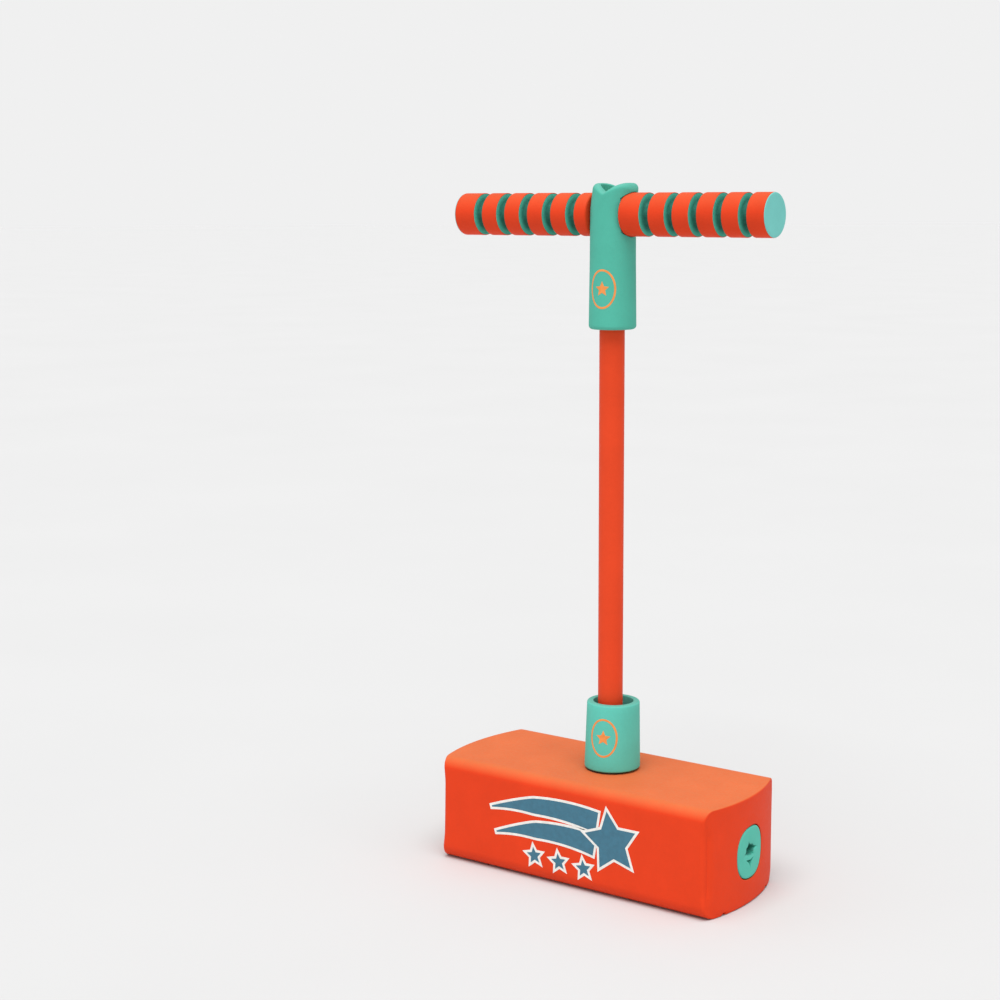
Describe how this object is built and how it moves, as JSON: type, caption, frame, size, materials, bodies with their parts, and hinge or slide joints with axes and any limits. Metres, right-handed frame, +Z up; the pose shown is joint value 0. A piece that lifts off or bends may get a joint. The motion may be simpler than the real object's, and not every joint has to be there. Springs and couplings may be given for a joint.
{
  "type": "foam pogo stick",
  "caption": "Child's foam pogo stick: foam foot block with squeakers, collar, elastic pole and a ringed foam handlebar that turns and stretches.",
  "frame": {"origin": "middle of the foot block's underside, on the pole's axis", "axes": "+X along the foot block and the handlebar, -Y the front, +Z up along the pole"},
  "size_m": [0.2504, 0.101, 0.49],
  "materials": {
    "orange_foam": "matte closed-cell foam",
    "teal_foam": "matte closed-cell foam",
    "pale_teal_foam": "matte closed-cell foam",
    "orange_elastic": "satin elastic tube",
    "elastic_core": "matte",
    "moulded_plastic": "satin moulded",
    "soft_plastic": "soft moulded",
    "black_plastic": "satin moulded",
    "zinc_steel": "zinc plated"
  },
  "bodies": {
    "base": {"base_foam": "orange_foam", "anchor_plate": "moulded_plastic", "anchor_cover": "teal_foam", "guide_ferrule": "black_plastic", "base_collar": "teal_foam", "left_end_plug": "teal_foam", "right_end_plug": "teal_foam", "left_squeaker_bulb": "soft_plastic", "right_squeaker_bulb": "soft_plastic", "left_squeaker_reed": "moulded_plastic", "right_squeaker_reed": "moulded_plastic"},
    "pole_foot": {"lower_pole_tube": "orange_elastic", "lower_elastic_core": "elastic_core", "anchor_washer": "zinc_steel", "lower_cord_stop": "black_plastic"},
    "pole": {"upper_pole_tube": "orange_elastic", "upper_elastic_core": "elastic_core"},
    "pole_head": {"upper_washer": "zinc_steel", "upper_cord_stop": "black_plastic"},
    "handle": {"pole_socket": "moulded_plastic", "tee_head": "moulded_plastic", "handle_sleeve": "teal_foam"},
    "handlebar": {"handlebar_tube": "zinc_steel", "left_grip_core": "teal_foam", "right_grip_core": "teal_foam", "left_band_1": "orange_foam", "left_band_2": "orange_foam", "left_band_3": "orange_foam", "left_band_4": "orange_foam", "left_band_5": "orange_foam", "left_band_6": "orange_foam", "right_band_1": "orange_foam", "right_band_2": "orange_foam", "right_band_3": "orange_foam", "right_band_4": "orange_foam", "right_band_5": "orange_foam", "right_band_6": "orange_foam", "left_end_disc": "pale_teal_foam", "right_end_disc": "pale_teal_foam", "left_tube_plug": "black_plastic", "right_tube_plug": "black_plastic"}
  },
  "joints": [
    {"name": "pole_turn", "type": "hinge", "parent": "base", "child": "pole_foot", "pos_m": [0, 0, 0.05], "axis": [0, 0, 1], "continuous": true},
    {"name": "pole_lean", "type": "hinge", "parent": "pole_foot", "child": "pole", "pos_m": [0, 0, 0.126], "axis": [1, 0, 0], "range_deg": [-30, 30], "stiffness_Nm_per_rad": 3},
    {"name": "pole_stretch", "type": "slide", "parent": "pole", "child": "pole_head", "axis": [0, 0, 1], "range_m": [0, 0.25], "stiffness_N_per_m": 220, "deforming": ["upper_pole_tube", "upper_elastic_core"]},
    {"name": "handle_turn", "type": "hinge", "parent": "pole_head", "child": "handle", "pos_m": [0, 0, 0.44], "axis": [0, 0, 1], "continuous": true},
    {"name": "handlebar_spin", "type": "hinge", "parent": "handle", "child": "handlebar", "pos_m": [0, 0, 0.4682], "axis": [1, 0, 0], "continuous": true}
  ]
}
